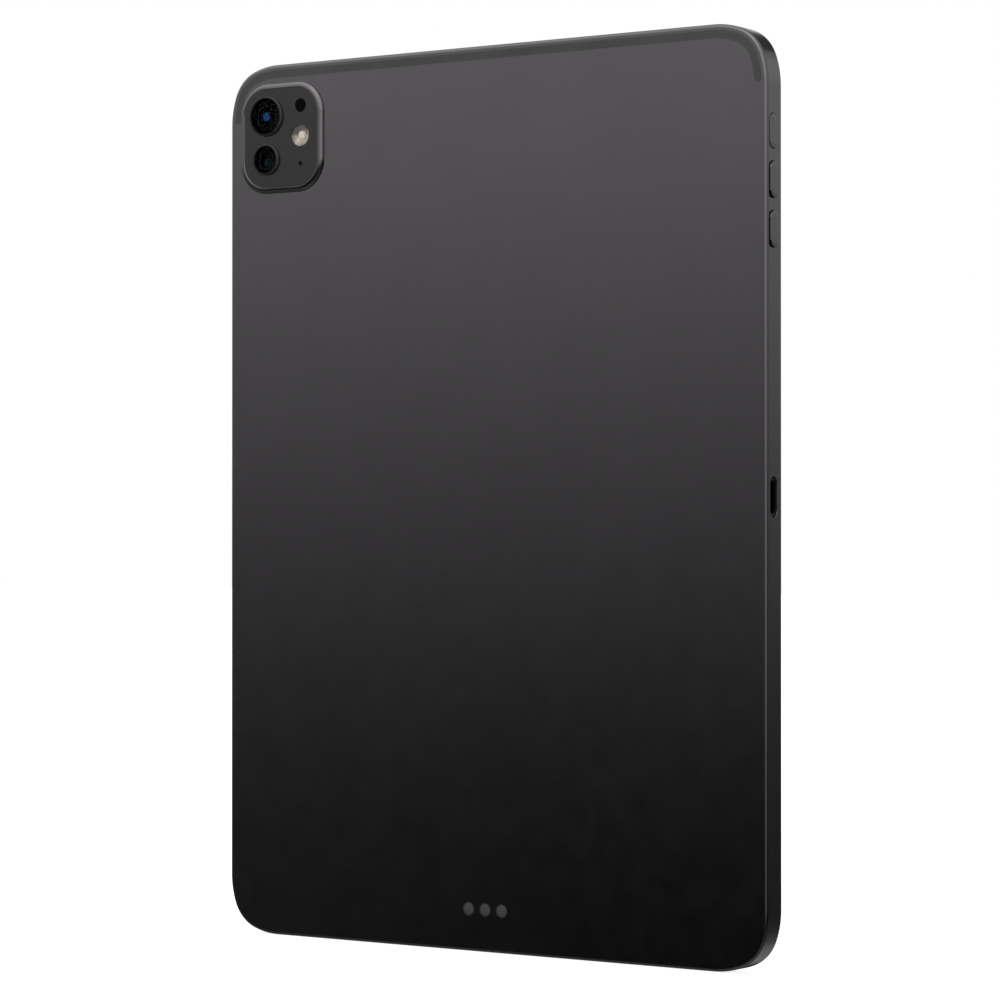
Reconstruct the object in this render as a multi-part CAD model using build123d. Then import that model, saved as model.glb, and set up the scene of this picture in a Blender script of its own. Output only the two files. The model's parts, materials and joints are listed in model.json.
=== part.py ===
from build123d import *
from math import radians, sin
import os

# A tablet computer in millimetres. Every piece is drawn as seen from behind the tablet: x to the
# right, y up from the bottom edge, z out of the back, with z = 0 halfway through the thickness.
# stand_up() then stands it on its bottom edge, with +Z up and its back facing -Y. Spans are (low, high).

# Driving dimensions: the body
WIDTH, HEIGHT, THICKNESS = 178.5, 248.6, 7.4
CORNER_ARCS = ((24.0, 20), (11.5, 50), (24.0, 20))  # radius and turn of each arc of a corner
BACK_EDGE_R, FRONT_EDGE_R = 1.0, 0.35
SIDE_WALL, BACK_WALL = 2.4, 0.9
FIT = 0.02  # gap round a piece that is bonded or seated in a hole

# Driving dimensions: the display side
GLASS_POCKET, GLASS_GAP = 1.0, 0.12
GLASS_T, MASK_T, GASKET_T = 0.6, 0.1, 0.2
BEZEL, PANEL_CORNER_R = 8.7, 9.0
PANEL_T, BACKLIGHT_T, FRAME_T = 0.8, 0.8, 0.3

# Driving dimensions: the camera island
ISLAND_X, ISLAND_Y = -70.3, 227.55
ISLAND_W, ISLAND_H, ISLAND_CORNER_R = 29.7, 31.5, 9.2
ISLAND_RISE, ISLAND_SHOULDER, ISLAND_SEAT = 1.0, 1.75, 2.6
LENS_RISE, LENS_RECESS, LENS_GLASS_T = 0.9, 0.1, 0.7
LENS_LIP, LENS_LEDGE = 0.6, 0.6  # widths of the ring round its glass and under it
WIDE_LENS = (-75.3, 233.8, 5.65)  # x, y, outer radius of the lens ring
SECOND_LENS = (-75.3, 221.4, 4.4)
FLASH = (-63.3, 227.75, 3.05)
AMBIENT_SENSOR = (-63.2, 236.3, 1.9)
REAR_MIC = (-63.2, 219.65, 0.7)
FOCUS_TRAVEL = 0.3
WIDE_CAN, WIDE_BARREL_R, WIDE_HOLLOW = 5.0, 3.8, 3.0  # half a can's side, its barrel, the barrel's mouth
SECOND_CAN, SECOND_BARREL_R, SECOND_HOLLOW = 4.3, 3.0, 2.3

# Driving dimensions: the edges and the back
BUTTON_Z, BUTTON_W, BUTTON_GAP, BUTTON_TRAVEL = 0.6, 3.8, 0.08, 0.3
LOCK_BUTTON = (219.8, 9.1, 0.2)  # centre y, length, how far it stands proud
VOLUME_UP = (207.15, 9.6, 0.6)
VOLUME_DOWN = (194.25, 9.6, 0.6)
PORT_Y, PORT_Z, PORT_MOUTH = 124.4, 0.35, (10.8, 3.5)
PORT_SHELL_OUT, PORT_SHELL_IN = (8.94, 3.16), (8.34, 2.56)
PORT_DEPTH, PORT_SETBACK, PORT_BLOCK = 6.7, 0.6, 1.2
TONGUE_W, TONGUE_T, TONGUE_L = 6.69, 0.7, 4.45
PORT_PINS, PIN_PITCH, PIN_L, PIN_W, PIN_T = 12, 0.5, 3.2, 0.26, 0.05
CONTACT_Y, CONTACT_R, CONTACT_PITCH, CONTACT_RING = 11.6, 1.65, 5.5, 0.3
BAND_OUT, BAND_IN, BAND_DEPTH, BAND_LEG = 1.7, 3.8, 0.5, 16.1
SPEAKER_HOLES, SPEAKER_PITCH, SPEAKER_HOLE_R = 9, 2.6, 0.75
SPEAKER_L, SPEAKER_W = 36.0, 17.0
SPEAKERS = {"top_left": (-32, 1), "top_right": (57, 1), "bottom_left": (-57, -1), "bottom_right": (57, -1)}
SPEAKER_MARGIN, SPEAKER_SCREW_Y = 0.4, 102.1  # gap to the short wall; screw from the middle of the height
FRONT_CAMERA_Y, FRONT_CAMERA_R = 244.0, 1.6
TOP_MICS_X, TOP_MIC_R = (-8, 8), 0.5

# Worked out from them
BACK, FRONT = THICKNESS / 2, -THICKNESS / 2
EDGE_X = WIDTH / 2
WALL_X = EDGE_X - SIDE_WALL  # inner face of a long side wall
INSIDE_BACK = BACK - BACK_WALL
GLASS_UNDER = FRONT + GLASS_T
MASK_UNDER = GLASS_UNDER + MASK_T
LEDGE = MASK_UNDER + GASKET_T
PANEL_UNDER = GLASS_UNDER + PANEL_T
BACKLIGHT_UNDER = PANEL_UNDER + BACKLIGHT_T
FRAME_UNDER = BACKLIGHT_UNDER + FRAME_T  # nothing behind the display comes lower than this
PLATE_TOP = BACK + ISLAND_RISE - 0.05
LENS_TOP = PLATE_TOP + LENS_RISE
GLASS_SEAT = LENS_TOP - LENS_RECESS - LENS_GLASS_T
CAN_TOP = BACK - 0.5
BARREL_Z = (0.0, GLASS_SEAT - FOCUS_TRAVEL - 0.25)
BUTTONS = {"lock_button": LOCK_BUTTON, "volume_up_button": VOLUME_UP, "volume_down_button": VOLUME_DOWN}

# Inside: board, battery and fasteners
BOARD_X, BOARD_Y, BOARD_Z = (46, 80), (30, 222), (0.9, 1.7)
CELL_Y, CELL_Z = (26, 204), (-0.9, 2.5)
CELLS_X = {"battery_cell_left": (-79, -22), "battery_cell_right": (-18, 39)}
SCREW_HEAD_R, SCREW_HEAD_T, SCREW_R, SCREW_L, BOSS_R = 1.15, 0.4, 0.6, 1.45, 1.5
# Each screw: x, y, and the span of what it clamps, from under its head to the boss
STRAP_Z, FOOT_Z = (-1.6, -1.25), (1.2, 1.6)
BOARD_SCREWS = [(x, y, BOARD_Z) for x in (49, 77) for y in (34, 218)]
PORT_SCREWS = [(84.3, PORT_Y + side * 7.6, STRAP_Z) for side in (-1, 1)]
BUTTON_SCREWS = [(82.3, y, FOOT_Z) for y in (200.6, 213.4, 228.0)]
SPEAKER_SCREWS = [(x, HEIGHT / 2 + end * SPEAKER_SCREW_Y, FOOT_Z) for x, end in SPEAKERS.values()]
SCREWS = BOARD_SCREWS + PORT_SCREWS + BUTTON_SCREWS + SPEAKER_SCREWS


# Plain shapes

def outline(inset=0.0):
    """The body's outline, this far inside its edge: four straight runs and four three-arc corners."""
    turn, reach = 0.0, 0.0
    for radius, sweep in CORNER_ARCS:
        reach += radius * (sin(radians(turn + sweep)) - sin(radians(turn)))
        turn += sweep
    point, heading = Vector(WIDTH / 2 - inset, reach), Vector(0, 1)
    edges = []
    for run in (HEIGHT, WIDTH, HEIGHT, WIDTH):
        edges.append(Line(point, point + heading * (run - 2 * reach)))
        for radius, sweep in CORNER_ARCS:
            edges.append(JernArc(edges[-1] @ 1, edges[-1] % 1, radius - inset, sweep))
        point, heading = edges[-1] @ 1, edges[-1] % 1
    return make_face(edges)


def raised(face, z_span):
    """The face, extruded over the span."""
    return Pos(0, 0, z_span[0]) * extrude(face, z_span[1] - z_span[0])


def slab(inset, z_span):
    return raised(outline(inset), z_span)


def plate(x_span, y_span, z_span, radius=0):
    """A flat rectangular piece with rounded corners."""
    size = (x_span[1] - x_span[0], y_span[1] - y_span[0])
    face = RectangleRounded(*size, radius) if radius else Rectangle(*size)
    return raised(Pos(sum(x_span) / 2, sum(y_span) / 2) * face, z_span)


def inner_plate(inset, z_span, radius):
    """A plate that keeps this far inside the body's edge."""
    return plate((inset - EDGE_X, EDGE_X - inset), (inset, HEIGHT - inset), z_span, radius)


def island(inset, z_span):
    """A plate with the camera island's outline, this far inside its edge."""
    half_w, half_h = ISLAND_W / 2 - inset, ISLAND_H / 2 - inset
    x_span = (ISLAND_X - half_w, ISLAND_X + half_w)
    return plate(x_span, (ISLAND_Y - half_h, ISLAND_Y + half_h), z_span, ISLAND_CORNER_R - inset)


def disc(x, y, radius, z_span):
    return raised(Pos(x, y) * Circle(radius), z_span)


def tube(x, y, outer, inner, z_span):
    return disc(x, y, outer, z_span) - disc(x, y, inner, z_span)


def pill(y, z, size, x_span):
    """A stadium-shaped bar along x, its long way up: for what goes through the long side wall."""
    face = Plane((x_span[0], y, z), x_dir=(0, 1, 0), z_dir=(1, 0, 0)) * SlotOverall(*size)
    return extrude(face, x_span[1] - x_span[0])


def rod(x, z, radius, y_span):
    """A round bar along y: for what goes through a short side wall."""
    face = Plane((x, y_span[0], z), x_dir=(1, 0, 0), z_dir=(0, 1, 0)) * Circle(radius)
    return extrude(face, y_span[1] - y_span[0])


def grown(size, by):
    return (size[0] + 2 * by, size[1] + 2 * by)


def around(middle, half):
    return (middle - half, middle + half)


def soften(shape, radius, axis=Axis.Z, end=-1):
    """The shape with the edges at one end of an axis rounded."""
    return fillet(shape.edges().group_by(axis)[end], radius)


def screw_hole(x, y, clamped):
    return disc(x, y, SCREW_R + FIT, clamped)


def stand_up(shape):
    return Plane.XZ * shape


# The housing and what is let into it

def antenna_band():
    """The inlay across the top of the back, round both corners, with a rounded end to each leg."""
    ring = outline(BAND_OUT) - outline(BAND_IN)
    middle, half = EDGE_X - (BAND_OUT + BAND_IN) / 2, (BAND_IN - BAND_OUT) / 2
    leg_end = HEIGHT - BAND_LEG + half
    ring -= Pos(0, leg_end / 2) * Rectangle(WIDTH, leg_end)
    for side in (-1, 1):
        ring += Pos(side * middle, leg_end) * Circle(half)
    return raised(ring, (BACK - BAND_DEPTH, BACK))


def through_wall(end):
    """The y span of a hole through the bottom wall (end -1) or the top wall (end 1)."""
    return (-1, SIDE_WALL + 1) if end < 0 else (HEIGHT - SIDE_WALL - 1, HEIGHT + 1)


def contact_places():
    return [(side * CONTACT_PITCH, CONTACT_Y) for side in (-1, 0, 1)]


def rear_housing():
    shell = slab(0, (FRONT, BACK))
    shell = soften(soften(shell, BACK_EDGE_R), FRONT_EDGE_R, end=0)
    shell -= slab(GLASS_POCKET, (FRONT, LEDGE))
    shell -= slab(SIDE_WALL, (LEDGE, INSIDE_BACK))
    for x, y, (seat, boss) in SCREWS:
        shell += disc(x, y, BOSS_R, (boss, INSIDE_BACK))
        shell -= screw_hole(x, y, (seat, seat + SCREW_L + 0.1))
    shell -= antenna_band()
    shell -= island(ISLAND_SEAT, (INSIDE_BACK, BACK))
    for x, y in contact_places():
        shell -= disc(x, y, CONTACT_R + CONTACT_RING + FIT, (INSIDE_BACK, BACK))
    for y, length, _ in BUTTONS.values():
        slot = grown((length, BUTTON_W), BUTTON_GAP)
        shell -= pill(y, BUTTON_Z, slot, (WALL_X - 0.5, EDGE_X))
        shell -= pill(y, BUTTON_Z, grown(slot, 0.12), (EDGE_X - 0.15, EDGE_X))
    shell -= pill(PORT_Y, PORT_Z, PORT_MOUTH, (WALL_X - 0.5, EDGE_X))
    for x, end in SPEAKERS.values():
        for step in range(SPEAKER_HOLES):
            offset = (step - (SPEAKER_HOLES - 1) / 2) * SPEAKER_PITCH
            shell -= rod(x + offset, 0, SPEAKER_HOLE_R, through_wall(end))
    for x in TOP_MICS_X:
        shell -= rod(x, 0, TOP_MIC_R, through_wall(1))
    return shell


# The display side

def cover_glass():
    return soften(slab(GLASS_POCKET + GLASS_GAP, (FRONT, GLASS_UNDER)), 0.25, end=0)


def panel_window(grow, z_span):
    return inner_plate(BEZEL - grow, z_span, PANEL_CORNER_R)


def border_mask():
    span = (GLASS_UNDER, MASK_UNDER)
    return slab(GLASS_POCKET + 0.3, span) - panel_window(FIT, span) - disc(
        0, FRONT_CAMERA_Y, FRONT_CAMERA_R, span)


def display_gasket():
    span = (MASK_UNDER, LEDGE)
    return slab(GLASS_POCKET + 0.3, span) - slab(SIDE_WALL, span)


def display_panel():
    return panel_window(0, (GLASS_UNDER, PANEL_UNDER))


def backlight_unit():
    return panel_window(0.9, (PANEL_UNDER, BACKLIGHT_UNDER))


def display_frame():
    """The steel tray that holds the backlight and the panel."""
    span = (MASK_UNDER + 0.15, FRAME_UNDER)
    tray = panel_window(1.3, span) - panel_window(0.9 + FIT, (span[0], BACKLIGHT_UNDER))
    for x in (-60, 0, 60):
        for y in (50, 125, 200):
            tray -= plate(around(x, 12), around(y, 15), (BACKLIGHT_UNDER, FRAME_UNDER), 3)
    return tray


def display_flex():
    """The ribbon from the panel to the board, with its plug."""
    ribbon = plate((52, 68), (60, 96), (FRAME_UNDER, FRAME_UNDER + 0.15), 1)
    plug = plate((54, 66), (62, 67), (FRAME_UNDER + 0.15, BOARD_Z[0] - 0.6))
    return ribbon + plug


def front_camera():
    """The camera above the display and, as a separate solid, the lens in its nose."""
    y_span = (241.7, HEIGHT - SIDE_WALL - 0.1)
    body = plate((-3.2, 3.2), y_span, (-2.4, 1.4), 0.6)
    nose = disc(0, FRONT_CAMERA_Y, 1.95, (-2.75, -2.4))
    case = body + nose - disc(0, FRONT_CAMERA_Y, 1.2, (-2.75, -1.2))
    return [case, soften(disc(0, FRONT_CAMERA_Y, 1.2 - FIT, (-2.65, -1.2)), 0.4, end=0)]


# The camera island

def camera_island():
    """The raised ring round the plate, rounded over nearly its whole height."""
    span = (BACK, BACK + ISLAND_RISE)
    return soften(island(0, span), ISLAND_RISE * 0.95) - island(ISLAND_SHOULDER, span)


def camera_plate():
    span = (BACK, PLATE_TOP)
    cover = island(ISLAND_SHOULDER + FIT, span)
    for x, y, radius in (WIDE_LENS, SECOND_LENS, FLASH, AMBIENT_SENSOR, REAR_MIC):
        cover -= disc(x, y, radius + FIT, span)
    return cover


def lens_ring(lens):
    """A turned ring with a flange under the plate, a seat for its glass and a rounded lip."""
    x, y, radius = lens
    ring = disc(x, y, radius, (BACK - 0.45, LENS_TOP))
    ring = soften(ring, 0.35)
    ring += disc(x, y, radius + 0.3, (BACK - 0.45, BACK))
    ring -= disc(x, y, radius - LENS_LIP - LENS_LEDGE, (BACK - 0.45, LENS_TOP))
    return ring - disc(x, y, radius - LENS_LIP, (GLASS_SEAT, LENS_TOP))


def lens_glass(lens):
    x, y, radius = lens
    return soften(disc(x, y, radius - LENS_LIP - FIT, (GLASS_SEAT, LENS_TOP - LENS_RECESS)), 0.1)


def wide_camera_can():
    """The steel can that holds the coil which focuses the lens."""
    x, y, _ = WIDE_LENS
    can = plate(around(x, WIDE_CAN), around(y, WIDE_CAN), (-0.6, CAN_TOP), 0.8)
    return can - disc(x, y, 4.25, (-0.2, CAN_TOP)) - plate(around(x, 3.4), around(y, 2.6), (-0.6, -0.2))


def wide_focus_coil():
    """The magnet and coil ring that sits in the can and moves the barrel."""
    x, y, _ = WIDE_LENS
    return tube(x, y, 4.23, 3.9, (0.0, CAN_TOP - 0.4))


def barrel(lens, radius, hollow):
    """A threaded lens barrel: three ribs outside, a stepped opening, and glass left to its own node."""
    x, y, _ = lens
    body = disc(x, y, radius, BARREL_Z)
    for step in range(4):
        low = BARREL_Z[1] - 1.1 + step * 0.25
        body -= tube(x, y, radius + 1, radius - 0.1, (low, low + 0.12))
    body -= disc(x, y, hollow, (BARREL_Z[1] - 0.9, BARREL_Z[1]))
    return body - disc(x, y, hollow * 0.62, BARREL_Z)


def front_element(lens, hollow):
    """The domed front lens in a barrel's mouth, and the narrower element under it."""
    x, y, _ = lens
    top = disc(x, y, hollow - FIT, (BARREL_Z[1] - 0.9, BARREL_Z[1] - 0.1))
    dome = soften(top, 0.45)
    return dome + disc(x, y, hollow * 0.62 - FIT, (BARREL_Z[1] - 2.4, BARREL_Z[1] - 0.9))


def image_sensor(lens, half):
    """A small board with its sensor chip on it, under a lens."""
    x, y, _ = lens
    board = plate(around(x, half), around(y, half), (-1.05, -0.6), 0.3)
    return board + plate(around(x, half * 0.6), around(y, half * 0.46), (-0.6, -0.3))


def second_camera_can():
    x, y, _ = SECOND_LENS
    can = plate(around(x, SECOND_CAN), around(y, SECOND_CAN), (-0.6, CAN_TOP), 0.7)
    return can - disc(x, y, SECOND_BARREL_R + FIT, (-0.2, CAN_TOP)) - plate(
        around(x, 2.7), around(y, 2.1), (-0.6, -0.2))


def camera_bracket():
    """The steel frame that keeps both camera cans square to each other."""
    x = WIDE_LENS[0]
    frame = plate((x - 6.6, x + 5.9), (215.8, 240.6), FOOT_Z, 1.2)
    for (cx, cy, _), half in ((WIDE_LENS, WIDE_CAN), (SECOND_LENS, SECOND_CAN)):
        frame -= plate(around(cx, half + FIT), around(cy, half + FIT), FOOT_Z, 0.7)
    return frame


def camera_board():
    """The small board beside the lenses, with the flash, the light sensor and the microphone on it."""
    board = plate((-67.4, -58.6), (216.4, 239.6), (1.6, 2.0), 1)
    return [board, flash_led(), ambient_sensor(), rear_mic()]


def flash_lens():
    """A clear window with ring-shaped facets pressed into its underside."""
    x, y, radius = FLASH
    window = disc(x, y, radius, (BACK - 0.4, PLATE_TOP))
    window = soften(window, 0.15) + disc(x, y, radius + 0.4, (BACK - 0.4, BACK))
    for step in range(3):
        inner = radius * (0.25 + 0.25 * step)
        window -= tube(x, y, inner + 0.3, inner, (BACK - 0.4, BACK - 0.05))
    return window


def flash_led():
    x, y, _ = FLASH
    package = plate(around(x, 2.2), around(y, 2.2), (2.0, 2.7), 0.3)
    for side in (-1, 1):
        package += plate(around(x + side * 0.9, 0.7), around(y, 1.4), (2.7, 3.1))
    return package


def sensor_window():
    x, y, radius = AMBIENT_SENSOR
    window = soften(disc(x, y, radius, (BACK - 0.3, PLATE_TOP)), 0.1)
    return window + disc(x, y, radius + 0.35, (BACK - 0.3, BACK))


def ambient_sensor():
    x, y, _ = AMBIENT_SENSOR
    return plate(around(x, 1.5), around(y, 1.2), (2.0, 2.9), 0.2)


def rear_mic_mesh():
    x, y, radius = REAR_MIC
    return disc(x, y, radius, (PLATE_TOP - 0.35, PLATE_TOP - 0.2))


def rear_mic():
    x, y, radius = REAR_MIC
    case = plate(around(x, 1.7), around(y, 1.3), (2.0, 3.1), 0.2)
    return case + tube(x, y, radius + 0.5, radius, (3.1, BACK)) - disc(x, y, 0.3, (2.6, 3.1))


# The accessory contacts

def accessory_contacts():
    """Three plated studs, flush with the back, each with a tail to the flex inside."""
    studs = []
    for x, y in contact_places():
        stud = soften(disc(x, y, CONTACT_R, (INSIDE_BACK, BACK)), 0.08)
        studs.append(stud + disc(x, y, 0.7, (INSIDE_BACK - 0.6, INSIDE_BACK)))
    return studs


def contact_insulator():
    """The moulding that keeps the studs apart from each other and from the housing."""
    base = plate((-9.5, 9.5), around(CONTACT_Y, 3.6), (INSIDE_BACK - 0.6, INSIDE_BACK), 1.5)
    for x, y in contact_places():
        base += disc(x, y, CONTACT_R + CONTACT_RING, (INSIDE_BACK, BACK))
        base -= disc(x, y, CONTACT_R + FIT, (INSIDE_BACK, BACK))
        base -= disc(x, y, 0.7 + FIT, (INSIDE_BACK - 0.6, INSIDE_BACK))
    return base


def accessory_flex():
    ribbon = plate((-8, 8), (8.6, 14.6), (INSIDE_BACK - 0.75, INSIDE_BACK - 0.6), 1)
    return ribbon + plate((8, 38), (9.6, 12.6), (INSIDE_BACK - 0.75, INSIDE_BACK - 0.6))


# The buttons

FLANGE_FACE, FLANGE_T = WALL_X - 0.03, 0.47
PLUNGER_TIP = WALL_X - 1.25
DOME_FACE = PLUNGER_TIP - BUTTON_TRAVEL - 0.03
FLEX_FACE, BRACKET_FACE = DOME_FACE - 0.2, DOME_FACE - 0.35
BRACKET_T = 0.4


def side_button(button):
    """A machined cap in the wall, the flange that keeps it in, and the plunger behind it."""
    y, length, proud = button
    root = FLANGE_FACE - FLANGE_T
    cap = pill(y, BUTTON_Z, (length, BUTTON_W), (root, EDGE_X + proud))
    cap = soften(cap, 0.2, Axis.X)
    flange = pill(y, BUTTON_Z, (length + 1.4, BUTTON_W + 0.3), (root, FLANGE_FACE))
    plunger = Pos((PLUNGER_TIP + root) / 2, y, BUTTON_Z) * Box(root - PLUNGER_TIP, 2.4, 1.6)
    return cap + flange + plunger


def switch_flex():
    """The flex behind the buttons and its three low domes, drawn snapped down, where the plungers end."""
    middle = (BRACKET_FACE + FLEX_FACE) / 2
    domes = [Pos(middle, 207.2, BUTTON_Z) * Box(FLEX_FACE - BRACKET_FACE, 36, 3.4)]
    for y, _, _ in BUTTONS.values():
        dome = Pos((DOME_FACE + FLEX_FACE) / 2, y, BUTTON_Z) * (Rot(0, 90, 0) * Cylinder(1.6, 0.2))
        domes.append(soften(dome, 0.12, Axis.X))
    return domes


def button_bracket():
    """A steel angle: the wall behind the switches, and feet screwed to the housing."""
    low = BRACKET_FACE - BRACKET_T
    angle = Pos(BRACKET_FACE - BRACKET_T / 2, 208.6, 0.2) * Box(BRACKET_T, 42, 4.0)
    for x, y, clamped in BUTTON_SCREWS:
        angle += plate((x - 1.6, low), around(y, 1.6), clamped) - screw_hole(x, y, clamped)
    return angle


# The charging port

SHELL_X = (EDGE_X - PORT_SETBACK - PORT_DEPTH, EDGE_X - PORT_SETBACK)


def port_surround():
    """The dark plastic liner between the housing's opening and the socket."""
    x_span = (WALL_X - 0.5, EDGE_X - PORT_SETBACK + 0.15)
    liner = pill(PORT_Y, PORT_Z, grown(PORT_MOUTH, -FIT), x_span)
    return liner - pill(PORT_Y, PORT_Z, grown(PORT_SHELL_OUT, FIT), x_span)


def port_shell():
    return pill(PORT_Y, PORT_Z, PORT_SHELL_OUT, SHELL_X) - pill(PORT_Y, PORT_Z, PORT_SHELL_IN, SHELL_X)


def port_tongue():
    """The socket's insulating block, with the tongue that the plug slides over."""
    root = SHELL_X[0] + PORT_BLOCK
    block = pill(PORT_Y, PORT_Z, grown(PORT_SHELL_IN, -FIT), (SHELL_X[0], root))
    tongue = Pos(root + TONGUE_L / 2, PORT_Y, PORT_Z) * Box(TONGUE_L, TONGUE_W, TONGUE_T)
    return block + soften(tongue, 0.15, Axis.X)


def port_contacts():
    """A row of contact strips on each face of the tongue."""
    strips = []
    x = SHELL_X[0] + PORT_BLOCK + 0.4 + PIN_L / 2
    for side in (-1, 1):
        z = PORT_Z + side * (TONGUE_T + PIN_T) / 2
        for step in range(PORT_PINS):
            y = PORT_Y + (step - (PORT_PINS - 1) / 2) * PIN_PITCH
            strips.append(Pos(x, y, z) * Box(PIN_L, PIN_W, PIN_T))
    return strips


def port_bracket():
    """The steel strap that holds the socket against plug forces."""
    (x, low, _), (_, high, _) = PORT_SCREWS
    strap = plate(around(x, 1.7), (low - 1.7, high + 1.7), STRAP_Z, 1)
    for y in (low, high):
        strap -= screw_hole(x, y, STRAP_Z)
    return strap


# Power, board, audio, magnets and radio

def battery_cell(x_span):
    cell = plate(x_span, CELL_Y, CELL_Z, 2.5)
    return soften(soften(cell, 0.7), 0.7, end=0)


def battery_adhesive():
    strips = []
    for low, high in CELLS_X.values():
        for x in (low + 14, high - 14):
            strips.append(plate(around(x, 6), (CELL_Y[0] + 8, CELL_Y[1] - 8), (CELL_Z[1], INSIDE_BACK)))
    return strips


def battery_board():
    """The narrow protection board along the cells' tops, with a plug towards the main board."""
    strip = plate((-60, 20), (204.4, 208.6), (0.2, 0.9))
    tail = plate((20, 47), (205.2, 207.8), (0.2, 0.35))
    return strip + tail + plate((-56, -24), (205, 208), (0.9, 1.7)) + plate((-14, 14), (205, 208), (0.9, 1.7))


def graphite_sheet():
    return plate((47, 79), (112, 196), (INSIDE_BACK - 0.12, INSIDE_BACK), 2)


def logic_board():
    board = plate(BOARD_X, BOARD_Y, BOARD_Z, 2)
    board -= plate((45, 52), (96, 110), BOARD_Z) + plate((74, 81), (200, 209), BOARD_Z)
    for x, y, _ in BOARD_SCREWS:
        board -= disc(x, y, SCREW_R + 0.2, BOARD_Z)
    return board


def processor():
    package = plate((56, 71), (150, 165), (BOARD_Z[1], BOARD_Z[1] + 0.5), 0.4)
    return package + plate((58.5, 68.5), (152.5, 162.5), (BOARD_Z[1] + 0.5, BOARD_Z[1] + 0.8))


def board_parts():
    """Memory packages, rows of coils and capacitors, and the sockets that the flexes plug into."""
    places = [(x, y) for x in (57, 69) for y in (138, 177)]
    rows = [plate(around(x, 5), around(y, 5.5), (BOARD_Z[1], BOARD_Z[1] + 0.8), 0.3) for x, y in places]
    for row in range(5):
        for column in range(6):
            x, y = 51 + column * 4.8, 46 + row * 12
            rows.append(plate(around(x, 1.2), around(y, 2 if column % 2 else 1.2),
                              (BOARD_Z[1], BOARD_Z[1] + 0.6)))
    spans = (((54, 66), (62, 67)), ((47.5, 52), (205, 208)), ((68, 76), (40, 44)), ((54, 62), (211, 215)))
    sockets = [plate(x_span, y_span, (BOARD_Z[0] - 0.6, BOARD_Z[0]), 0.3) for x_span, y_span in spans]
    return rows + sockets


def shield_cans():
    """Three folded steel lids over the circuits on the board's front."""
    cans = []
    for y_span in ((122, 146), (148, 176), (178, 198)):
        lid = soften(plate((49, 77), y_span, (-0.7, BOARD_Z[0]), 1), 0.2, end=0)
        hollow_x, hollow_y = (49.2, 76.8), (y_span[0] + 0.2, y_span[1] - 0.2)
        cans.append(lid - plate(hollow_x, hollow_y, (-0.5, BOARD_Z[0]), 0.8))
    return cans


def speaker_spans(place):
    x, end = SPEAKERS[place]
    start = SIDE_WALL + SPEAKER_MARGIN
    y_span = (start, start + SPEAKER_W) if end < 0 else (HEIGHT - start - SPEAKER_W, HEIGHT - start)
    return around(x, SPEAKER_L / 2), y_span


def speaker_box(place):
    """A speaker's box: an opening for its cone, a duct to the holes in the wall, and a screw lug."""
    x_span, y_span = speaker_spans(place)
    x, end = SPEAKERS[place]
    box = plate(x_span, y_span, (-0.9, 2.5), 1.5)
    middle = sum(y_span) / 2
    box -= plate(around(x, 12), around(middle, 6.4), (-0.9, -0.3), 3)
    wall_side = y_span[0] if end < 0 else y_span[1]
    box -= Pos(x, wall_side, 0) * Box(24, 4, 1.6)
    screw_y = HEIGHT / 2 + end * SPEAKER_SCREW_Y
    box += plate(around(x, 2.2), around(screw_y, 2.6), FOOT_Z, 1)
    return box - screw_hole(x, screw_y, FOOT_Z)


def speaker_cones():
    cones = []
    for place, (x, _) in SPEAKERS.items():
        middle = sum(speaker_spans(place)[1]) / 2
        cone = plate(around(x, 11.9), around(middle, 6.3), (-0.6, -0.3), 2.9)
        cones.append(cone + plate(around(x, 8), around(middle, 3.2), (-0.8, -0.6), 2))
    return cones


def speaker_meshes():
    """Fine cloth behind each row of holes."""
    meshes = []
    for x, end in SPEAKERS.values():
        inner = SIDE_WALL + 0.05 if end < 0 else HEIGHT - SIDE_WALL - 0.15
        meshes.append(Pos(x, inner + 0.05, 0) * Box(26, 0.1, 2.4))
    return meshes


def edge_magnets():
    """The bar magnets that hold a cover, along both long walls."""
    left = [(-1, y) for y in (44, 70, 96, 152, 178, 204)]
    right = [(1, y) for y in (44, 70, 96, 152)]
    x = WALL_X - 1.6
    return [plate(around(side * x, 1.2), around(y, 8), (-0.8, 2.6), 0.3) for side, y in left + right]


def antenna_strips():
    """Folded radio strips behind the band at the top and by the bottom corners."""
    spans = (((18, 38), (240, 245.6)), ((-12, -5), (240, 245.6)), ((14, 38), (3, 8)), ((-38, -14), (3, 8)))
    return [plate(x_span, y_span, (2.3, INSIDE_BACK), 1) for x_span, y_span in spans]


def screws():
    """All the small cross-head screws: pan heads on straight shanks."""
    group = []
    for x, y, (seat, _) in SCREWS:
        head = soften(disc(x, y, SCREW_HEAD_R, (seat - SCREW_HEAD_T, seat)), 0.12, end=0)
        shank = disc(x, y, SCREW_R, (seat, seat + SCREW_L))
        recess = plate(around(x, 0.6), around(y, 0.12), (seat - SCREW_HEAD_T, seat - 0.15))
        recess += plate(around(x, 0.12), around(y, 0.6), (seat - SCREW_HEAD_T, seat - 0.15))
        group.append(head + shank - recess)
    return group


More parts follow.
